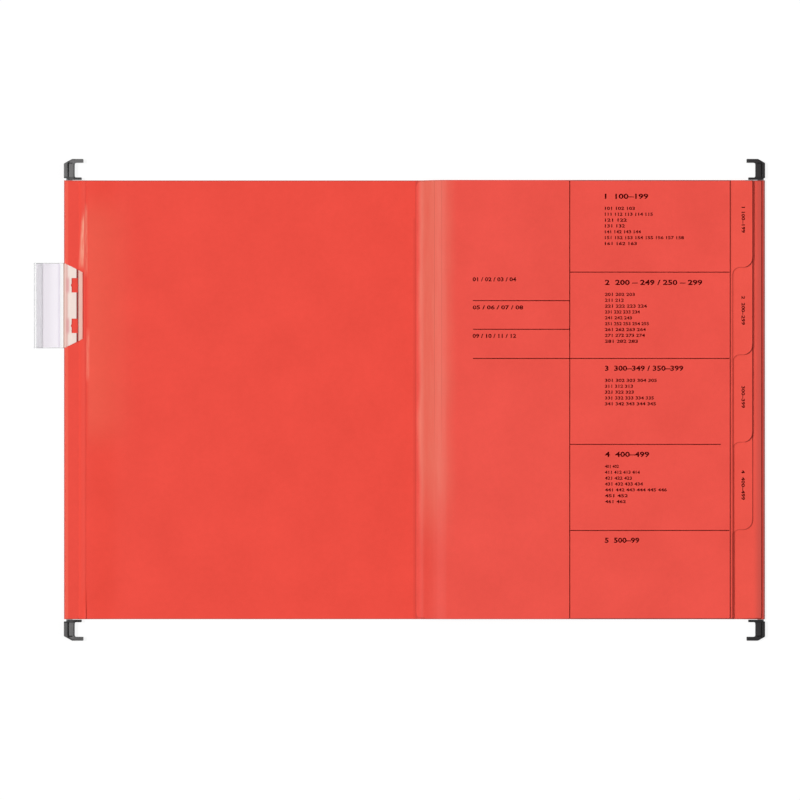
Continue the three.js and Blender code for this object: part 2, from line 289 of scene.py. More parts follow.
def thickened(points, faces, thickness):
    """A closed sheet from a surface: its points and faces.

    Every point moves half the thickness along and against the mean normal of its faces. The faces
    are kept above, turned over below, and every edge that only one face has gets a rim."""
    faces = np.asarray(faces)
    corners = points[faces]
    across_face = np.cross(corners[:, 1] - corners[:, 0], corners[:, 2] - corners[:, 0])
    if faces.shape[1] == 4:
        across_face += np.cross(corners[:, 2] - corners[:, 0], corners[:, 3] - corners[:, 0])
    normals = np.zeros_like(points)
    for k in range(faces.shape[1]):
        np.add.at(normals, faces[:, k], across_face)
    normals /= np.maximum(np.linalg.norm(normals, axis=1), 1e-12)[:, None]
    edges = np.stack([faces, np.roll(faces, -1, 1)], -1).reshape(-1, 2)
    keys = np.sort(edges, 1) @ np.array([len(points), 1])
    _, first, count = np.unique(keys, return_index=True, return_counts=True)
    rim = edges[first[count == 1]]
    below = len(points)
    sides = np.stack([rim[:, 1], rim[:, 0], rim[:, 0] + below, rim[:, 1] + below], 1)
    layers = np.concatenate([points + normals * thickness / 2, points - normals * thickness / 2])
    return layers, faces.tolist() + (faces[:, ::-1] + below).tolist() + sides.tolist()


def rounded(corners, radius, steps=5):
    """A closed outline with its corners cut by curves.

    Each curve starts and ends at radius from its corner, or at 0.45 of a shorter side, and runs as
    (1 - t)^2 a + 2t(1 - t) corner + t^2 b."""
    points = np.asarray(corners, float)
    before = np.roll(points, 1, 0) - points
    after = np.roll(points, -1, 0) - points
    before_length = np.linalg.norm(before, axis=1)
    after_length = np.linalg.norm(after, axis=1)
    longest = 0.45 * np.minimum(before_length, after_length)
    cut = np.minimum(np.broadcast_to(radius, len(points)), longest)
    a = points + before * (cut / before_length)[:, None]
    b = points + after * (cut / after_length)[:, None]
    t = np.linspace(0, 1, steps)[None, :, None]
    curve = (1 - t) ** 2 * a[:, None] + 2 * t * (1 - t) * points[:, None] + t * t * b[:, None]
    return curve.reshape(-1, 2)


def drawn_in(outline, by):
    """An anticlockwise outline, drawn in by a distance along its corners' mitres."""
    sides = np.roll(outline, -1, 0) - outline
    length = np.linalg.norm(sides, axis=1)[:, None]
    inward = np.stack([-sides[:, 1], sides[:, 0]], 1) / np.maximum(length, 1e-9)
    earlier = np.roll(inward, 1, 0)
    mitre = (inward + earlier) / (1 + (inward * earlier).sum(1))[:, None]
    return outline + mitre * by


def raised(outline, height):
    """A flat outline at a height."""
    return np.concatenate([outline, np.full((len(outline), 1), height)], 1)


def moulded_plate(shell, outline, low, high, edge, steps, pockets=()):
    """A plate over an anticlockwise outline, with rounded rims.

    At both rims the outline is drawn in by edge (1 - cos a) while the height runs by edge sin a. A
    pocket is an outline and the height of its floor: the same wall turned inward."""
    turn = np.linspace(0, math.pi / 2, steps)
    pull = edge * (1 - np.cos(turn))
    climb = edge * np.sin(turn)
    walls = [(p, low + edge - c) for p, c in zip(pull[::-1], climb[::-1])]
    walls += [(p, high - edge + c) for p, c in zip(pull, climb)]
    rings = shell.add(np.stack([raised(drawn_in(outline, p), z) for p, z in walls]))
    shell.quads(ring_faces(rings, flip=True))
    shell.lid([rings[0]], (0, 0, -1))
    tops = [rings[-1]]
    for shape, floor in pockets:
        inner = [(-p, high - edge + c) for p, c in zip(pull[::-1], climb[::-1])] + [(0, floor)]
        wells = shell.add(np.stack([raised(drawn_in(shape, p), z) for p, z in inner]))
        shell.quads(ring_faces(wells, flip=True))
        shell.lid([wells[-1]], (0, 0, 1))
        tops.append(wells[0])
    shell.lid(tops, (0, 0, 1))


# Finishes


def tone(red, green, blue):
    """A colour given in the 0 to 255 numbers of a screen, in the linear ones of a shader."""
    parts = np.array([red, green, blue]) / 255
    linear = np.where(parts <= 0.04045, parts / 12.92, ((parts + 0.055) / 1.055) ** 2.4)
    return (*linear.tolist(), 1.0)


def shaded(colour, factor, lift=0.0):
    """A colour's parts times a factor plus a lift, 1 at most."""
    return (*(min(1.0, part * factor + lift) for part in colour[:3]), 1.0)


class Value:
    """A number that a shader works out at every point. Python's operators add its Math nodes."""

    def __init__(self, nodes, socket):
        self.nodes = nodes
        self.socket = socket

    def math(self, operation, *values):
        """What a Math node makes of the values."""
        return self.nodes.node("ShaderNodeMath", {"operation": operation}, values)

    def __add__(self, other):
        return self.math("ADD", self, other)

    def __sub__(self, other):
        return self.math("SUBTRACT", self, other)

    def __rsub__(self, other):
        return self.math("SUBTRACT", other, self)

    def __mul__(self, other):
        return self.math("MULTIPLY", self, other)

    def __neg__(self):
        return self.math("MULTIPLY", self, -1.0)

    def __abs__(self):
        return self.math("ABSOLUTE", self)

    __radd__ = __add__
    __rmul__ = __mul__

    def least(self, other):
        """The smaller of two."""
        return self.math("MINIMUM", self, other)

    def most(self, other):
        """The larger of two."""
        return self.math("MAXIMUM", self, other)

    def step(self, start, end):
        """0 at start, 1 at end, smooth between them and level outside."""
        limits = {0: self, 1: start, 2: end, 3: 0.0, 4: 1.0}
        return self.nodes.node("ShaderNodeMapRange", {"interpolation_type": "SMOOTHSTEP"}, limits)

    def between(self, low, high, blur):
        """1 between low and high, 0 outside, with soft ends of width blur."""
        return self.step(low - blur, low) * (1 - self.step(high, high + blur))


class Nodes:
    """The node tree of a material or a world."""

    def __init__(self, owner, output):
        owner.use_nodes = True
        self.tree = owner.node_tree
        self.tree.nodes.clear()
        self.output = self.tree.nodes.new(output)

    def node(self, kind, settings, values, output=0):
        """A node with its settings made and its sockets filled, and the Value of one output."""
        made = self.tree.nodes.new(kind)
        for key, setting in settings.items():
            setattr(made, key, setting)
        pairs = values.items() if isinstance(values, dict) else enumerate(values)
        for key, value in pairs:
            self.fill(made.inputs[key], value)
        return Value(self, made.outputs[output])

    def fill(self, socket, value):
        """Links a Value to a socket, or sets the socket's own number."""
        if isinstance(value, Value):
            self.tree.links.new(value.socket, socket)
        else:
            socket.default_value = value

    def looked_at(self):
        """1 for rays of the camera, gloss and glass, 0 for those that light the object."""
        camera, gloss, glass = (
            self.node("ShaderNodeLightPath", {}, {}, f"Is {ray} Ray")
            for ray in ("Camera", "Glossy", "Transmission")
        )
        return camera.most(gloss).most(glass)

    def show(self, surface):
        """Links a shader to the tree's output."""
        self.tree.links.new(surface.socket, self.output.inputs[0])


class Finish(Nodes):
    """A material: its nodes, its place in millimetres and its shader."""

    def __init__(self, name, at_rest=False):
        self.material = bpy.data.materials.new(name)
        super().__init__(self.material, "ShaderNodeOutputMaterial")
        if at_rest:
            self.place = self.node("ShaderNodeAttribute", {"attribute_name": REST}, {}, "Vector")
        else:
            own = self.node("ShaderNodeTexCoord", {}, {}, "Object")
            scale = {"operation": "SCALE"}
            self.place = self.node("ShaderNodeVectorMath", scale, {0: own, 3: 1 / MM})
        parts = (self.node("ShaderNodeSeparateXYZ", {}, [self.place], k) for k in range(3))
        self.x, self.y, self.z = parts

    def blend(self, share, first, second):
        """Two colours mixed by a share of the second."""
        return self.node("ShaderNodeMix", {"data_type": "RGBA"}, {0: share, 6: first, 7: second}, 2)

    def layered(self, base, *layers):
        """A colour with others laid over it in turn, each a share and a colour."""
        for share, colour in layers:
            base = self.blend(share, base, colour)
        return base

    def stretched(self, *scale):
        """The place stretched along X, Y and Z, for grain that runs one way."""
        return self.node("ShaderNodeVectorMath", {"operation": "MULTIPLY"}, [self.place, scale])

    def noise(self, pitch, detail=2.0, place=None):
        """Cloudy noise from 0 to 1, with features of about pitch millimetres."""
        values = {"Vector": place or self.place, "Scale": 1 / pitch, "Detail": detail}
        return self.node("ShaderNodeTexNoise", {}, values)

    def bump(self, height, depth, strength):
        """A normal from a height that runs from 0 to 1 over depth millimetres."""
        values = {"Height": height, "Distance": depth * MM, "Strength": strength}
        return self.node("ShaderNodeBump", {}, values)

    def shader(self, **sockets):
        """The surface shader, with sockets named as in Blender, spaces as underscores."""
        values = {key.replace("_", " "): value for key, value in sockets.items()}
        self.show(self.node("ShaderNodeBsdfPrincipled", {}, values))
        return self.material


def card_finish(name, colour):
    """Dyed pressboard: its material, its colour, and the fibres and mottle of its surface.

    The colour is mixed from a deeper and a paler one. The paler one's share is a half, to which
    fibres, clouds and mottle add their distances from a half by their weights."""
    finish = Finish(name, at_rest=True)
    fibres = finish.noise(0.5, 3.0, finish.stretched(1.0, 0.45, 1.0))
    clouds = finish.noise(38.0)
    mottle = finish.noise(4.0)
    share = 0.5 + (fibres - 0.5) * 0.35 + (clouds - 0.5) * 0.7 + (mottle - 0.5) * 0.25
    base = finish.blend(share, shaded(colour, 0.9), shaded(colour, 1.12, 0.012))
    return finish, base, fibres, mottle


def cover_edge_shade(x, y):
    """1 in a line along the cover's head and tail, and round both hems' folds, for painted shade.
    """
    front_outer = HEM_OUTER + FRONT_HEM_ROLL
    ends = abs(y).step(HALF_COVER - 0.8, HALF_COVER - 0.1)
    back = x.step(HEM_OUTER - 0.8, HEM_OUTER - 0.1)
    front = (-x).step(front_outer - 0.8, front_outer - 0.1)
    return ends.most(back.most(front))


def cover_finish():
    """The cover's card, with painted light and shade on its front hem, by the fold and at its
    edges.
    """
    finish, base, fibres, mottle = card_finish("cover_card", tone(231, 62, 45))
    x, y = finish.x, finish.y

    # A painted highlight on the front hem, in streaky bands along it. The wedge starts from a line
    # that leans out as it goes down, and fades at both ends.
    line = {0: y, 1: along(212), 2: along(270), 3: -240.1, 4: -242.8}
    inner = finish.node("ShaderNodeMapRange", {}, line)
    wedge = (x - inner).step(-0.4, 2.2) * (1 - x.step(-238.5, -238.1)) * 1.15
    wedge = wedge * (0.55 * y.step(along(272), along(262)) + 0.45 * y.step(along(262), along(238)))
    wedge = wedge * (1 - y.step(along(226), along(208)))
    second = x.between(-237.6, -236.2, 0.7) * y.between(along(268), along(212), 8.0) * 0.34
    lower = x.between(-236.4, -234.9, 0.8) * y.between(along(372), along(338), 9.0) * 0.3
    highlight_streaks = finish.noise(1.2, place=finish.stretched(1.0, 0.12, 1.0))
    hem_highlight = (wedge + second + lower).least(1.0) * (0.5 + 0.5 * highlight_streaks.step(0.36, 0.6))

    # Painted light on the front hem's inner slope, which faces away from the key, a lighter outer
    # fold, a haze on the panel beside it, a painted shadow at the cover's fold beside the index
    # sheet's edge, and painted shade on the back hem's roll, which turns away from the light
    slope = x.between(-241.6, -238.2, 0.9)
    folded = x.between(-251.4, -250.0, 0.5)
    hazy = x.step(-237.0, -234.0) * (1 - x.step(-232.0, -196.0)) * y.between(-8.0, 122.0, 36.0)
    fold_shadow = x.between(-0.6, 0.6, 1.2) * y.between(along(615), along(222), 6.0)
    roll = x.step(250.2, 250.9)
    base = finish.layered(
        base,
        (slope * 0.6, tone(250, 78, 62)),
        (hem_highlight, tone(255, 168, 142)),
        (folded * 0.45, tone(244, 104, 80)),
        (hazy * 0.2, tone(240, 124, 96)),
        (fold_shadow * 0.3, tone(196, 52, 40)),
        (roll * 0.85, tone(157, 76, 70)),
        (cover_edge_shade(x, y) * 0.6, tone(120, 62, 54)),
    )
    return finish.shader(
        Base_Color=base,
        Roughness=0.44 + (mottle - 0.5) * 0.12,
        Normal=finish.bump(fibres, 0.03, 0.5),
        Specular_IOR_Level=0.3,
    )


def sheet_finish(name, colour, fold_x, side_shadow):
    """A register sheet's card: a painted highlight and scuff where it rises from the fold, and
    painted shadow at its cut edges.

    The highlight ends at fold_x, and the share of painted shadow at the outer edge is the last
    argument, or 0.75 on the tabs."""
    finish, base, fibres, mottle = card_finish(name, colour)
    x, y = finish.x, finish.y

    # The painted highlight and scuff wander along the file and end towards the tail, and painted
    # shade on the rise holds down the light that the slope catches. Two scores run beside the fold
    # with painted shade in them, and the card is darker where it reaches out furthest.
    streaks = finish.noise(2.6, 3.0, finish.stretched(1.0, 0.1, 1.0))
    wander = (finish.noise(46.0, 1.0, finish.stretched(0.0, 1.0, 0.0)) - 0.5) * 5.0
    reach = x + wander
    scuff_and_highlight = reach.step(1.2, 5.0) * (1 - reach.step(13.0, fold_x))
    length = 0.03 + 0.97 * y.step(-120.0, -40.0)
    rise = x.step(3.0, 6.0) * (1 - x.step(10.0, fold_x))
    score_and_shade = x.between(13.8, 14.0, 0.25).most(x.between(19.1, 19.3, 0.25)) * y.step(-60.0, 20.0)
    outermost = x.step(243.0, 248.8)

    # Painted shadow along the cut edge, for the gaps between the sheets: darkest at the outer side,
    # less so at the lowest tab, and more where the stack shows below the last step
    rim = finish.node("ShaderNodeAttribute", {"attribute_name": RIM}, {}, "Fac")
    cut = 1 - rim.step(0.28, 0.74)
    tabs = x.step(236.0, 240.0)
    lowest_tab = tabs * (1 - x.step(244.6, 245.6)) * (1 - y.step(along(443), along(437)))
    side = x.step(100.0, 120.0) * side_shadow + tabs * (0.75 - side_shadow) - 0.42 * lowest_tab
    pile_shadow = x.between(227.0, 229.0, 0.5) * (1 - y.step(-100.0, -94.0)) * 0.3
    base = finish.layered(
        base,
        (scuff_and_highlight * length * (0.42 + 0.5 * streaks), tone(238, 128, 108)),
        (rise * 0.22, tone(196, 66, 52)),
        (score_and_shade * (0.1 + 0.35 * streaks), tone(176, 60, 48)),
        (outermost * 0.8, tone(196, 76, 66)),
        (cut * (0.27 + side + pile_shadow).least(0.95), tone(98, 8, 1)),
    )
    return finish.shader(
        Base_Color=base,
        Roughness=0.52 + (mottle - 0.5) * 0.12,
        Normal=finish.bump(fibres - score_and_shade * 0.8, 0.04, 0.5),
        Specular_IOR_Level=0.14,
    )


def ink_finish():
    """Dark printing ink that lets a little of the red through."""
    finish = Finish("printing_ink")
    patchy = finish.noise(0.6)
    base = finish.blend(patchy, tone(54, 0, 0), tone(80, 3, 1))
    return finish.shader(Base_Color=base, Roughness=0.7 + 0.1 * patchy, Specular_IOR_Level=0.02)


def hook_finish(name, light, gloss):
    """Dark moulded plastic with painted light: a highlight on its top faces and web, and painted
    shade in its groove, mouth, foot and bevel and on the tail hooks.

    Places are inward from the outer wall and out from the cover's end, as in hook_piece."""
    finish = Finish(name)
    inward = HOOK_OUTER - abs(finish.x)
    out = abs(finish.y) - HALF_COVER
    grain = finish.noise(0.18)
    clouds = finish.noise(3.0)
    top_highlight = finish.z.step(HOOK_THICK - 1.0, HOOK_THICK - 0.05) * (0.72 + 0.28 * clouds)
    tail = 1 - finish.y.step(-1.0, 1.0)
    web = inward.between(4.2, 6.9, 0.2)
    mouth = inward.between(7.2, 7.8, 0.3) * out.between(2.6, 12.0, 0.3)
    foot = 1 - out.step(2.2, 2.8)
    groove = inward.between(2.7, 3.65, 0.15) * out.between(2.6, 12.4, 0.3)
    above_bevel = BEVEL_SLOPE * inward + BEVEL_START - out
    bevel = above_bevel.between(-0.2, 1.4, 0.3) * inward.between(3.2, 7.8, 0.8)
    # Painted highlight on top faces and web; painted shade on tail hooks, mouth, foot, groove,
    # bevel
    painted_light = top_highlight - 0.31 * tail + 0.3 * web - 0.7 * mouth - 0.7 * foot - 0.45 * bevel
    painted_light = painted_light - 0.7 * groove
    return finish.shader(
        Base_Color=finish.blend(painted_light.most(0.0).least(1.2), tone(12, 11, 12), light),
        Roughness=0.34 + 0.2 * clouds,
        Normal=finish.bump(grain, 0.02, 0.6),
        Specular_IOR_Level=gloss,
    )


def steel_finish(name, colour, rough):
    """Rolled strip steel: fine scratches along its length and a faint stain."""
    finish = Finish(name)
    scratches = finish.noise(0.12, place=finish.stretched(1.0, 0.02, 1.0))
    stain = finish.noise(9.0, 3.0)
    return finish.shader(
        Base_Color=finish.blend(0.35 * scratches + 0.4 * stain, colour, shaded(colour, 0.72)),
        Metallic=1.0,
        Roughness=rough + 0.25 * (scratches - 0.5) + 0.1 * stain,
        Normal=finish.bump(scratches, 0.01, 0.4),
    )


def clear_finish():
    """Clear plastic: milky where its plate presses on the hem, with painted shade along its edges.
    """
    finish = Finish("clear_plastic")
    x, y = finish.x, finish.y
    haze = finish.noise(6.0, place=finish.stretched(1.0, 0.3, 1.0))
    clip = x.step(-253.1, -252.5)

    # The pocket: its two ends, its outer edge, and the ridge with the line beside it. The ends, the
    # outer edge and the line get painted shade
    ends = (abs(y - (TAB_HEAD + TAB_TAIL) / 2) - 30.0).step(0.0, 0.6) * (1 - clip)
    outline = 1 - x.step(-274.0, -273.5)
    ridge = x.between(-272.9, -268.5, 0.3)
    line = x.between(-268.6, -268.1, 0.15)

    # The clip: its seam with the pocket, the hem's fold that shows through its outer part, as a
    # band and a patch beside each window, its groove, which gets painted shade, and its inner lip
    seam = x.between(-253.2, -252.4, 0.25)
    outer = clip * (1 - x.step(-250.8, -249.8))
    band = x.between(-250.9, -249.9, 0.5)
    beside = y.between(50.0, 56.5, 4.0).most(y.between(79.2, 85.7, 4.0))
    patch = x.between(-250.4, -249.6, 1.5) * beside
    groove = x.between(-243.6, -242.3, 0.2)
    lip = x.step(-242.3, -242.0)

    pale = finish.layered(
        tone(232, 232, 234),
        (clip, tone(252, 232, 223)),
        (outer * 0.8, tone(246, 200, 190)),
        (band * 0.4, tone(222, 158, 150)),
        (patch * 0.75, tone(232, 160, 160)),
        (lip, tone(255, 202, 187)),
    )
    shade = finish.layered(
        tone(150, 150, 154),
        (clip, tone(146, 48, 44)),
        (seam, tone(188, 144, 124)),
    )
    # Painted shade on the pocket's ends, outer edge and line, and in the clip's groove; the seam is
    # a dark joint
    dark = ((ends + line + outline) * 0.7 + groove + seam * 0.8).least(1.0)
    alpha = 0.005 + clip * (0.825 + 0.14 * haze) - 0.08 * lip + ridge * 0.23
    alpha = alpha + (ends + outline) * 0.4 + line * 0.12 + seam * 0.45
    return finish.shader(
        Base_Color=finish.blend(dark, pale, shade),
        Roughness=0.1 + 0.12 * haze,
        Alpha=alpha.most(0.01).least(1.0),
        Normal=finish.bump(haze, 0.05, 0.2),
    )


def label_finish():
    """Blank label paper, faintly blue from its brightener."""
    finish = Finish("label_paper")
    fibres = finish.noise(0.4, 3.0)
    base = finish.layered(
        tone(233, 227, 234),
        (fibres, tone(237, 231, 238)),
        (finish.x.step(-266.0, -257.0), tone(252, 247, 254)),
        (finish.x.step(-257.4, -256.6) * 0.7, tone(236, 228, 242)),
    )
    return finish.shader(
        Base_Color=base,
        Roughness=0.7 + 0.1 * fibres,
        Normal=finish.bump(fibres, 0.02, 0.3),
    )


COVER_CARD = cover_finish()
INDEX_CARD = sheet_finish("index_card", tone(233, 77, 65), 32.0, 0.6)
DIVIDER_CARD = sheet_finish("divider_card", tone(234, 80, 66), 14.0, 0.05)
INK = ink_finish()
# The front hooks' plastic is the back hooks' plastic with painted light, paler as if lit more
LIT_FRONT_HOOK = hook_finish("hook_plastic_painted_lit", tone(108, 107, 107), 0.3)
BACK_HOOK = hook_finish("hook_plastic", tone(36, 33, 34), 0.2)
RAIL_STEEL = steel_finish("rail_steel", tone(132, 134, 136), 0.42)
FASTENER_STEEL = steel_finish("fastener_steel", tone(140, 136, 126), 0.4)
CLEAR = clear_finish()
LABEL = label_finish()


# Cover card


def cover_line(start, outer):
    """The card's middle line from the spine to the end of the hem: distance from the fold, height.

    It lies flat, climbs by a smooth step to the hem, turns in a half circle and runs back level
    over the rail. The third result is the number of points that run back."""
    flat = spaced(
        start, (CREASE_X - BEND, 7 if start < 0 else 3), (CREASE_X + BEND, 10), (RISE_START, 33),
        (HEM_INNER, 12), (outer - 1.0, 7),
    )
    low = CARD / 2 + HEM_LIFT * smooth((flat - RISE_START) / (HEM_INNER - RISE_START))
    bottom = HEM_LIFT + CARD / 2
    top = HEM_TOP - CARD / 2
    turn = np.linspace(-math.pi / 2, math.pi / 2, 15)[1:]
    radius = (top - bottom) / 2
    fold_x = outer - CARD / 2 - radius + radius * np.cos(turn)
    fold_z = (top + bottom) / 2 + radius * np.sin(turn)
    back = spaced(
        outer - 1.2, (DROP_START, 7), (DROP_END, 16), (238.4, 1), (237.7, 1), (HEM_INNER, 1),
    )
    reach = np.concatenate([flat, fold_x, back])
    height = np.concatenate([low, fold_z, np.full(len(back), top)])
    return reach, height, len(back)


def cover_card(name, side, start):
    """One half of the cover as a surface of distance from the fold and place along it.

    The hem's upper layer drops from its top height to the glued height by a smooth step. The
    flange's free edge is pressed into the card below it by another, and lifts at the tail."""
    reach, height, back = cover_line(start, HEM_OUTER + (FRONT_HEM_ROLL if side < 0 else 0))
    rows = np.linspace(-HALF_COVER, HALF_COVER, 97)
    x, y = np.meshgrid(reach, rows, indexing="ij")
    z = np.repeat(height[:, None], len(rows), 1)
    glued = 1 - smooth((x - HEM_INNER) / (TUNNEL_INNER - HEM_INNER))
    pressed = FLANGE_PRESS * smooth((HEM_INNER + PRESS_WIDTH - x) / PRESS_WIDTH)
    free = np.clip((HEM_INNER + LIFT_WIDTH - x) / LIFT_WIDTH, 0, 1)
    loose = FLANGE_LIFT * smooth((LIFT_START_Y - y) / LIFT_RUN) * free
    z[-back:] -= ((HEM_TOP - HEM_GLUE_TOP) * glued)[-back:]
    z[-back:] += (loose - pressed * (1 - smooth((PRESS_END_Y - y) / PRESS_FADE)))[-back:]
    shell = Shell()
    numbers = shell.add(np.stack([side * x, y, z], -1))
    shell.quads(grid_faces(numbers, flip=side < 0))
    return make_piece(name, *thickened(shell.joined(), shell.faces, CARD), COVER_CARD, rest=True)


front_card = cover_card("front_cover_card", -1, -SPINE_SEAM_X)
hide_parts("front_panel", "spine_strip")
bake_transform(front_card)
back_card = cover_card("back_cover_card", 1, SPINE_SEAM_X)
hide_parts("back_panel")
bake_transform(back_card)


# Register sheets


def crease_place(n):
    """A sheet's crease: its X, the middle's height there, and its change per millimetre beyond."""
    from_bottom = DIVIDERS - n
    x = FIRST_CREASE + CREASE_STEP_X * n
    middle = LOWEST_SHEET + CREASE_STEP_Z * from_bottom + SHEET / 2
    at_hem = LOWEST_AT_HEM + HEM_STEP_Z * from_bottom + SHEET / 2
    return x, middle, (at_hem - middle) / (HEM_INNER - x)


def sheet_height(n, x):
    """The height of a sheet's middle above a place across the file.

    A divider's margin lies flat and then slopes up to its crease. The index sheet's margin lies
    on the spine and swells up in one curve. Both are smoothed by a running mean of 1.2 mm."""
    crease, middle, fall = crease_place(n)
    if n == 0:
        knots = [*INDEX_SWELL, (crease, middle)]
    else:
        glued = CARD + SHEET * (DIVIDERS - n) + SHEET / 2
        knots = [(0, glued), (GLUED_END, glued), (crease, middle)]
    knots.append((FAR_X, middle + fall * (FAR_X - crease)))
    known_x, known_z = np.array(knots, float).T
    window = np.linspace(-SMOOTHING, SMOOTHING, 9)
    return np.interp(np.asarray(x)[..., None] + window, known_x, known_z).mean(-1)


def quarter(steps):
    """Angles of a quarter turn, without the first."""
    return np.linspace(0, math.pi / 2, steps + 1)[1:]


def keep_rim(piece, points, outline):
    """Keeps each point's distance in plan from a closed outline, up to a reach, for both faces."""
    nearest = np.full(len(points), RIM_REACH)
    for start, end in zip(outline, np.roll(outline, -1, 0)):
        side = end - start
        away = points[:, :2] - start
        share = np.clip((away @ side) / max(side @ side, 1e-12), 0, 1)
        nearest = np.minimum(nearest, np.linalg.norm(away - share[:, None] * side, axis=1))
    kept = piece.data.attributes.new(RIM, "FLOAT", "POINT")
    kept.data.foreach_set("value", np.tile(nearest, 2).astype(np.float32))


def card_piece(name, shell, finish, outline):
    """A sheet of card over its middle surface, with its distances from its outline kept."""
    points = shell.joined()
    piece = make_piece(name, *thickened(points, shell.faces, SHEET), finish, rest=True)
    keep_rim(piece, points, np.array(outline))
    return piece


def tab_edge(body, step_y):
    """A tab's lower edge from the body's last column: quarter circle, flat and quarter circle."""
    flat_start = body + STEP_INNER
    flat_end = TAB_REACH - STEP_OUTER
    inner, outer = quarter(8), quarter(10)
    edge_x = np.concatenate([
        flat_start - STEP_INNER * np.cos(inner),
        np.linspace(flat_start, flat_end, 5)[1:],
        flat_end + STEP_OUTER * np.sin(outer),
    ])
    edge_y = np.concatenate([
        step_y - STEP_INNER + STEP_INNER * np.sin(inner),
        np.full(4, step_y),
        step_y + STEP_OUTER * (1 - np.cos(outer)),
    ])
    return edge_x, edge_y


def sheet_piece(n, name):
    """A sheet as a surface of two parameters: across the file, and from the tail to the head.

    Every column runs from the outline's lower edge, which curves up at the outer corner, to the
    head. A tab is a second such surface, over its own lower edge, that shares the body's last
    column."""
    crease = crease_place(n)[0]
    body = {0: INDEX_REACH, DIVIDERS: LAST_REACH}.get(n, BODY_REACH)
    level = spaced(MARGIN_START, (crease - BEND, 23), (crease + BEND, 12), (body - CORNER, 35))
    columns = np.concatenate([level, body - CORNER + CORNER * np.sin(quarter(9))])
    beyond = np.maximum(0, columns - (body - CORNER))
    lower = TAIL_Y + CORNER - np.sqrt(np.maximum(0, CORNER**2 - beyond**2))
    has_tab = 0 < n < DIVIDERS
    step_y = HEAD_Y - STEP_LENGTH * n
    split = (step_y - STEP_INNER - lower[-1]) / (HEAD_Y - lower[-1]) if has_tab else 0.5
    tail_rows = max(FEW_ROWS, round((SHEET_ROWS - FEW_ROWS) * split))
    ends = END_ROWS / (HEAD_Y - TAIL_Y)
    tail_share = np.unique([*np.linspace(0, 1, tail_rows), *(ends / split)])
    head_rows = SHEET_ROWS - tail_rows
    head_share = np.unique([*np.linspace(0, 1, head_rows), *(1 - ends / (1 - split))])
    if has_tab:
        head_share = np.unique([*head_share, *(STEP_ROWS / (HEAD_Y - step_y))])
    share = np.concatenate([tail_share * split, split + head_share[1:] * (1 - split)])
    shell = Shell()

    def surface(across_x, lower_y, shares):
        y = lower_y[:, None] + (HEAD_Y - lower_y[:, None]) * shares[None]
        x = np.repeat(across_x[:, None], len(shares), 1)
        return np.stack([x, y, sheet_height(n, x)], -1)

    main = shell.add(surface(columns, lower, share))
    shell.quads(grid_faces(main))

    # The outline runs on past the margin's inner edge, which lies hidden or meets the glue flap
    hidden_x = MARGIN_START - HIDDEN_WIDTH
    edge = [(hidden_x, TAIL_Y), *zip(columns, lower)]
    if has_tab:
        edge_x, edge_y = tab_edge(body, step_y)
        tab = shell.add(surface(edge_x, edge_y, head_share))
        shell.quads(grid_faces(np.concatenate([main[-1:, len(tail_share) - 1:], tab])))
        edge += [(body, step_y - STEP_INNER), *zip(edge_x, edge_y)]
    edge += [(edge[-1][0], HEAD_Y), (hidden_x, HEAD_Y)]
    return card_piece(name, shell, INDEX_CARD if n == 0 else DIVIDER_CARD, edge)


def bend_at_crease(piece, n):
    """Bakes a sheet's place into its mesh. Its crease's bend is worked out but not applied."""
    crease = crease_place(n)[0]
    (crease - BEND) * MM
    (crease + BEND) * MM
    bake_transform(piece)


index_sheet = sheet_piece(0, "index_sheet_card")
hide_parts("index_sheet", "index_binding")
bend_at_crease(index_sheet, 0)

for n in range(1, DIVIDERS + 1):
    divider = sheet_piece(n, f"divider_{n}_card")
    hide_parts(f"divider_{n}", f"binding_{n}")
    bend_at_crease(divider, n)


def glue_flap():
    """The index sheet's margin on the spine: the same surface, from its cut edge to the binding."""
    columns = spaced(FLAP_START, (CREASE_X - BEND, 9), (CREASE_X + BEND, 8), (MARGIN_START, 1))
    x, y = np.meshgrid(columns, np.linspace(TAIL_Y, HEAD_Y, SHEET_ROWS), indexing="ij")
    shell = Shell()
    shell.quads(grid_faces(shell.add(np.stack([x, y, sheet_height(0, x)], -1))))
    edge = oblong(FLAP_START, MARGIN_START + HIDDEN_WIDTH, TAIL_Y, HEAD_Y)
    return card_piece("index_margin_card", shell, INDEX_CARD, edge)


flap = glue_flap()
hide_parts("index_glue_flap")
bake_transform(flap)


# Printing on the sheets


def facing_up(triangles, points):
    """Triangles of a flat figure, turned to face up, without those that have no width."""
    a, b, c = (points[triangles[:, k]] for k in range(3))
    normal = np.cross(b - a, c - a)
    down = normal[:, 2] < 0
    triangles[down] = triangles[down][:, ::-1]
    return triangles[np.linalg.norm(normal, axis=1) > 1e-7]


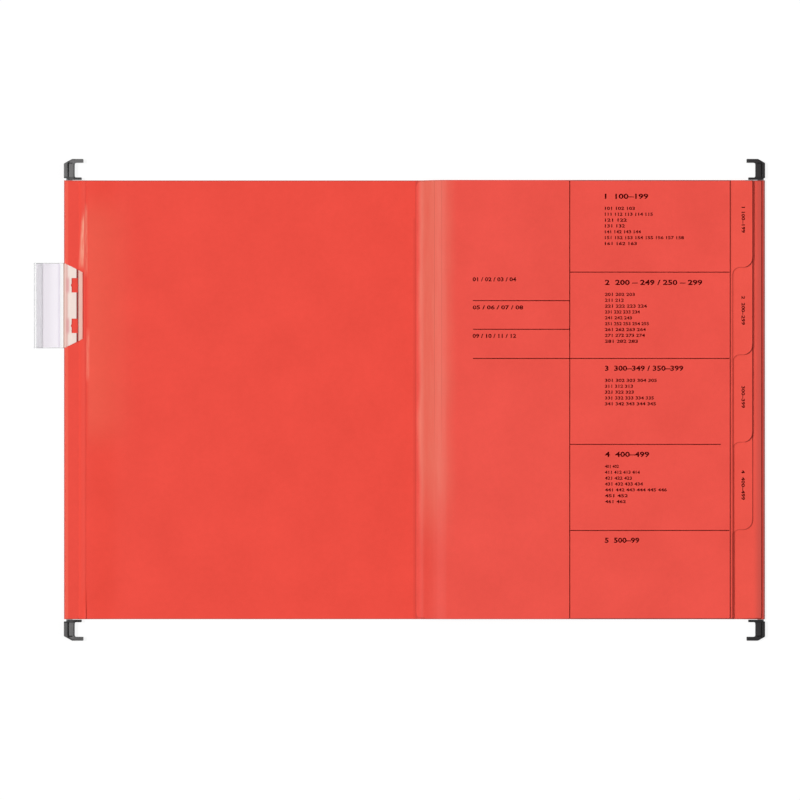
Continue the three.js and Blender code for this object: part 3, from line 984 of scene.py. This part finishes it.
class Print:
    """Flat figures and rules on a sheet, gathered into one mesh just above the card."""

    # Height over the card, thickness of the ink's layer, and the figures' added weight
    LIFT = 0.012
    THICK = 0.02
    BOLDER = 0.028

    def __init__(self, n):
        self.n = n
        self.shell = Shell()
        self.words = []

    def rule(self, x0, x1, y0, y1):
        """A ruled bar between two corners."""
        numbers = self.shell.add(self.on_sheet(oblong(x0, x1, y0, y1)))
        self.shell.quads(numbers[[[0, 1, 2], [0, 2, 3]]])

    def on_sheet(self, flat):
        """Points of the plan set on the sheet's upper face."""
        top = sheet_height(self.n, flat[:, 0]) + SHEET / 2 + self.LIFT
        return np.concatenate([flat, top[:, None]], 1)

    def figures(self, text, px, py, width, height, turned=False):
        """Numbers that fill a box of pixels whose left end and middle line are given."""
        curve = bpy.data.curves.new("figures", "FONT")
        curve.body = text
        curve.resolution_u = 2
        curve.offset = self.BOLDER
        self.words.append((added("figures", curve), px, py, width, height, turned))

    def set_words(self):
        """Fits each line of figures into its box and adds its faces.

        Its outline is scaled to the box's width and height. A turned line runs down the page."""
        graph = bpy.context.evaluated_depsgraph_get()
        for made, px, py, width, height, turned in self.words:
            drawn = made.evaluated_get(graph)
            mesh = drawn.to_mesh()
            points = np.zeros(len(mesh.vertices) * 3)
            mesh.vertices.foreach_get("co", points)
            flat = points.reshape(-1, 3)[:, :2]
            low, high = flat.min(0), flat.max(0)
            share = (flat - low) / (high - low)
            if turned:
                x = across(px) + (share[:, 1] - 0.5) * height * PIXEL
                y = along(py) - share[:, 0] * width * PIXEL
            else:
                x = across(px) + share[:, 0] * width * PIXEL
                y = along(py) + (share[:, 1] - 0.5) * height * PIXEL
            numbers = self.shell.add(self.on_sheet(np.stack([x, y], 1)))
            mesh.calc_loop_triangles()
            triangles = np.zeros(len(mesh.loop_triangles) * 3, np.int32)
            mesh.loop_triangles.foreach_get("vertices", triangles)
            self.shell.quads(facing_up(numbers[triangles.reshape(-1, 3)], self.shell.joined()))
            drawn.to_mesh_clear()
            curve = made.data
            bpy.data.objects.remove(made)
            bpy.data.curves.remove(curve)

    def finish(self, name, body):
        """The printing as one thin piece that rides on its sheet."""
        self.set_words()
        solid = thickened(self.shell.joined(), self.shell.faces, self.THICK)
        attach(make_piece(name, *solid, INK), body)


def item_numbers(first, width, height):
    """Item numbers from first on, as many as fill a line of that width and height in pixels.

    A number with its space is 3.05 heights wide, and the last one lacks its space of 0.44."""
    count = max(1, round((width / height + 0.44) / 3.05))
    return " ".join(str(first + k) for k in range(count))


def index_print():
    """Rules, section headings, item numbers and entry lines of the index sheet, by pixels."""
    ink = Print(0)
    thin, end_gap = 0.3, 0.6
    rule_x = across(569.5)
    ink.rule(rule_x - thin, rule_x + thin, TAIL_Y + end_gap, HEAD_Y - end_gap)
    for py, end in [(272.3, 729), (358.5, 729), (444.3, 720.5), (530.3, 729)]:
        ink.rule(rule_x + thin, across(end), along(py) - thin, along(py) + thin)
    for py in (300.8, 329.4, 358.5):
        ink.rule(across(472.8), rule_x - thin, along(py) - thin, along(py) + thin)

    # Three fields at the left end, then the sections' headings at their column
    left, column, field_height, heading_height = 472.5, 604.6, 4.2, 5.4
    for line in [
        ("01 / 02 / 03 / 04", left, 279.5, 43.5, field_height),
        ("05 / 06 / 07 / 08", left, 307.5, 50.5, field_height),
        ("09 / 10 / 11 / 12", left, 336, 43.5, field_height),
        ("1  100–199", column, 196.6, 43.4, heading_height),
        ("2  200 – 249 / 250 – 299", column, 282.6, 97.4, heading_height),
        ("3  300–349 / 350–399", column, 368.3, 78.4, heading_height),
        ("4  400–499", column, 454.3, 44.4, heading_height),
        ("5  500–99", column, 540.1, 34.4, heading_height),
    ]:
        ink.figures(*line)

    # A section's item lines: the first one's place, and the width of each
    rows = [
        (208.6, [30, 48, 22, 20, 36, 79, 32]),
        (294.5, [30, 19, 42, 35, 27, 44, 41, 40, 33]),
        (380.4, [52, 28, 29, 49, 51]),
        (466.3, [14, 35, 27, 38, 62, 23, 21]),
    ]
    line_step, item_height = 5.85, 3.3
    for section, (top, widths) in enumerate(rows, 1):
        for k, width in enumerate(widths):
            numbers = item_numbers(section * 100 + k * 10 + 1, width, item_height)
            ink.figures(numbers, column, top + line_step * k, width, item_height)
    ink.finish("index_print", "index_leaf")


index_print()

# The tabs' figures: text, upper end and length, in pixels
TAB_FIGURES = [
    ("1 100–199", 207, 26),
    ("2  200–299", 296, 29),
    ("300–399", 386, 22),
    ("4  400–499", 470, 30),
]
TAB_FIGURES_PX = 743
TAB_FIGURES_HEIGHT = 3.6
for n, (text, py, length) in enumerate(TAB_FIGURES, 1):
    figures = Print(n)
    figures.figures(text, TAB_FIGURES_PX, py, length, TAB_FIGURES_HEIGHT, turned=True)
    figures.finish(f"tab_print_{n}", f"leaf_{n}")


# Hooks


def hook_piece(name, side, end):
    """A moulded hook: a frame of outer wall, arm and foot, with a groove in its top.

    It is a plate with rounded rims over its outline, given as across and along and mirrored to its
    corner of the cover. The front hem rolls out as far as its hooks' outer walls, and the back
    hooks' outer walls end level with the back hem."""

    def placed(corners):
        at = np.array([[side * (HOOK_OUTER - a), end * (HALF_COVER + b)] for a, b, _ in corners])
        radii = np.array([radius for _, _, radius in corners])
        area = (at[:, 0] * np.roll(at[:, 1], -1) - np.roll(at[:, 0], -1) * at[:, 1]).sum()
        if area < 0:
            at, radii = at[::-1], radii[::-1]
        return rounded(at, radii)

    # Corners as across, along and radius
    proud = 0.0 if side < 0 else HOOK_OUTER - HEM_OUTER
    body = placed([
        (proud, 1.6, 0.3), (proud, BEVEL_START + BEVEL_SLOPE * proud, 0.5), (5.9, 15.4, 0.5),
        (14, 15.4, 0.4), (14, 12.7, 0.4), (7.7, 12.7, 1.4), (7.7, 2.1, 1.3), (12.8, 2.1, 0.4),
        (12.8, 0.4, 0.4), (2.6, 0.4, 0.2), (1.9, 1.6, 0.2),
    ])
    groove = placed([
        (2.8, 2.4, 0.2), (2.8, 12.65, 0.2), (6.3, 12.65, 0.2),
        (6.3, 11.9, 0.2), (3.55, 11.9, 0.1), (3.55, 2.4, 0.2),
    ])
    shell = Shell()
    pockets = [(groove, HOOK_THICK - GROOVE_DEPTH)]
    moulded_plate(shell, body, 0, HOOK_THICK, HOOK_EDGE, 5, pockets)
    finish = LIT_FRONT_HOOK if side < 0 else BACK_HOOK
    piece = make_piece(name, shell.joined(), shell.faces, finish, sharp=35)
    return piece


for cover, side in (("front", -1), ("back", 1)):
    for place, end in (("head", 1), ("tail", -1)):
        hook = hook_piece(f"{cover}_{place}_hook_body", side, end)
        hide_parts(f"{cover}_{place}_hook")
        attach(hook, f"{cover}_cover")


# Tab holder and label


def with_stops(section, stops):
    """A section with further points put in on its level edges."""
    for x, z in stops:
        ahead = np.roll(section, -1, 0)
        level = (abs(section[:, 1] - z) < 1e-6) & (abs(ahead[:, 1] - z) < 1e-6)
        spans = level & ((section[:, 0] - x) * (ahead[:, 0] - x) < 0)
        section = np.insert(section, np.flatnonzero(spans)[0] + 1, (x, z), 0)
    return section


def holder_section():
    """The holder's section: X and Z from the clip's lip round its plates and the label's pocket.

    The corners are given with their radii, and the windows' edges are put in on the plate."""
    corners = np.array([
        (-239.3, 2.2, 0.2), (-240.1, 2.2, 0.2), (-240.1, PLATE_UNDER, 0.15),
        (-252.9, PLATE_UNDER, 0.3), (-252.9, 0.7, 0.3), (-240.1, 0.7, 0.2), (-240.1, 0.05, 0.2),
        (-252.4, 0.0, 0.5), (-254.2, 0.75, 0.3), (-274.3, 0.75, 0.6), (-274.3, 3.35, 0.6),
        (-268.4, 3.35, 0.25), (-268.4, 2.95, 0.25), (-254.2, 2.95, 0.4), (-254.2, PLATE_TOP, 0.5),
        (-242.2, PLATE_TOP, 0.12), (-241.7, 3.45, 0.2), (-239.3, 3.45, 0.4),
    ])
    stops = [(x, z) for z in (PLATE_UNDER, PLATE_TOP) for x in (WINDOW_NEAR, WINDOW_FAR)]
    return with_stops(rounded(corners[:, :2], corners[:, 2], 4), stops)


def tab_holder():
    """The holder's section in X and Z, carried along Y, with a tube through it for the label.

    The end rows run in towards the fold by the taper. The faces of two windows are left out of
    the clip's plate, and walls join their rims, which have a notch at mid length on either side."""
    section = holder_section()
    x, z = section.T
    taper = TAB_TAPER * np.clip((x - TAPER_START) / TAPER_WIDTH, 0, 1)
    window_rows = [np.linspace(low, high, 9) for low, high in WINDOWS]
    inner_rows = np.concatenate([[SQUARE_FROM], *window_rows, [SQUARE_TO]])
    rows = np.repeat(inner_rows[:, None], len(x), 1)
    rows = np.concatenate([(TAB_TAIL + taper)[None], rows, (TAB_HEAD - taper)[None]])
    columns = np.repeat(x[None], len(rows), 0)
    for low, high in WINDOWS:
        notch = int(np.argmin(abs(rows[:, 0] - (low + high) / 2)))
        columns[notch, abs(x - WINDOW_FAR) < 1e-6] -= WINDOW_NOTCH
        columns[notch, abs(x - WINDOW_NEAR) < 1e-6] += WINDOW_NOTCH
    shell = Shell()
    wall = shell.add(np.stack([columns, rows, np.broadcast_to(z, rows.shape)], -1))
    ring = np.concatenate([wall, wall[:, :1]], 1)
    quads = grid_faces(ring).reshape(len(rows) - 1, len(x), 4)

    def column(stop_x, stop_z):
        return int(np.argmin(np.hypot(x - stop_x, z - stop_z)))

    keep = np.ones(quads.shape[:2], bool)
    top_far, top_near = column(WINDOW_FAR, PLATE_TOP), column(WINDOW_NEAR, PLATE_TOP)
    under_far, under_near = column(WINDOW_FAR, PLATE_UNDER), column(WINDOW_NEAR, PLATE_UNDER)
    for low, high in WINDOWS:
        first, last = (int(np.argmin(abs(rows[:, 0] - y))) for y in (low, high))
        keep[first:last, min(top_far, top_near)] = False
        keep[first:last, min(under_far, under_near)] = False
        span = slice(first, last + 1)
        for rims in [
            [wall[span, top_near], wall[span, under_near]],
            [wall[span, under_far], wall[span, top_far]],
            [wall[first, [top_far, top_near]], wall[first, [under_far, under_near]]],
            [wall[last, [top_near, top_far]], wall[last, [under_near, under_far]]],
        ]:
            shell.quads(grid_faces(np.stack(rims)))
    shell.quads(quads[keep])

    # The pocket's tube, and the holder's two end faces round it
    pocket_x, pocket_z = rounded(oblong(*POCKET_X, *POCKET_Z), 0.1, 3).T
    ends = [np.full(len(pocket_x), y) for y in (TAB_TAIL, TAB_HEAD)]
    bore = shell.add(np.stack([np.stack([pocket_x, y, pocket_z], -1) for y in ends]))
    shell.quads(ring_faces(bore, flip=True))
    shell.lid([wall[0], bore[0]], (0, -1, 0))
    shell.lid([wall[-1], bore[-1]], (0, 1, 0))
    piece = make_piece("tab_holder_body", shell.joined(), shell.faces, CLEAR, sharp=40)
    face_outwards(piece, sharp=40)
    return piece


holder = tab_holder()
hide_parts("tab_holder")
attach(holder, "tab")


def label_strip():
    """The blank label: a thin plate with softened corners."""
    shell = Shell()
    outline = rounded(oblong(*LABEL_X, *LABEL_Y), 0.5, 4)
    moulded_plate(shell, outline, *LABEL_Z, 0.04, 3)
    piece = make_piece("label_strip", shell.joined(), shell.faces, LABEL, sharp=40)
    return piece


label = label_strip()
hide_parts("tab_label")
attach(label, "label")


# Steel parts that keep their solids


def refinish(node, finish):
    """Gives a frame solid a better material."""
    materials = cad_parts[node].data.materials
    materials.clear()
    materials.append(finish)


for cover in ("front", "back"):
    refinish(f"{cover}_rail", RAIL_STEEL)
for n in range(1, DIVIDERS + 1):
    refinish(f"tongue_strip_{n}", RAIL_STEEL)
    for part in ("cover_bar", "lock_head", "lock_tail"):
        refinish(f"{part}_{n}", FASTENER_STEEL)


# Floor, light and camera


def floor():
    """A pale floor that shows white to the camera and keeps a soft shadow of the object."""
    finish = Finish("floor")
    plain = finish.node("ShaderNodeBsdfDiffuse", {}, {"Color": tone(240, 240, 240)})
    white = finish.node("ShaderNodeEmission", {}, {"Color": WHITE, "Strength": 1.04})
    share = finish.looked_at() * 0.85
    finish.show(finish.node("ShaderNodeMixShader", {}, [share, plain, white]))
    half, under = 4000.0, -0.3
    corners = raised(oblong(-half, half, -half, half), under)
    make_piece("floor", corners, [(0, 1, 2, 3)], finish.material)


def sky(level):
    """An even pale surround, white where the camera, glass or gloss looks at it."""
    world = bpy.data.worlds.new("surround")
    bpy.context.scene.world = world
    nodes = Nodes(world, "ShaderNodeOutputWorld")
    lit, white = (
        nodes.node("ShaderNodeBackground", {}, {"Color": WHITE, "Strength": strength})
        for strength in (level, 1.0)
    )
    nodes.show(nodes.node("ShaderNodeMixShader", {}, [nodes.looked_at(), lit, white]))


def sun(name, place, energy, spread):
    """A sunlamp aimed from its place at the middle of the file, spread over some degrees."""
    data = bpy.data.lights.new(name, "SUN")
    data.energy = energy
    data.angle = math.radians(spread)
    made = added(name, data)
    made.location = place
    made.rotation_mode = "QUATERNION"
    made.rotation_quaternion = (-Vector(place)).to_track_quat("-Z", "Y")


def camera():
    """A long lens straight above the photograph's middle, 4 m over the height of the hems."""
    data = bpy.data.cameras.new("camera")
    data.sensor_width = 36.0
    data.lens = 250.0
    data.clip_end = 50.0
    made = added("camera", data)
    hem_level, away = 0.0025, 4.0
    made.location = (-0.0108, -0.00014, away + hem_level)
    bpy.context.scene.camera = made


floor()
sky(0.30)
sun("key", (-0.62, 0.1, 1.0), 2.0, 7)
sun("fill", (1.0, 0.1, 0.9), 0.66, 30)
camera()
bpy.context.scene.view_settings.view_transform = "Standard"
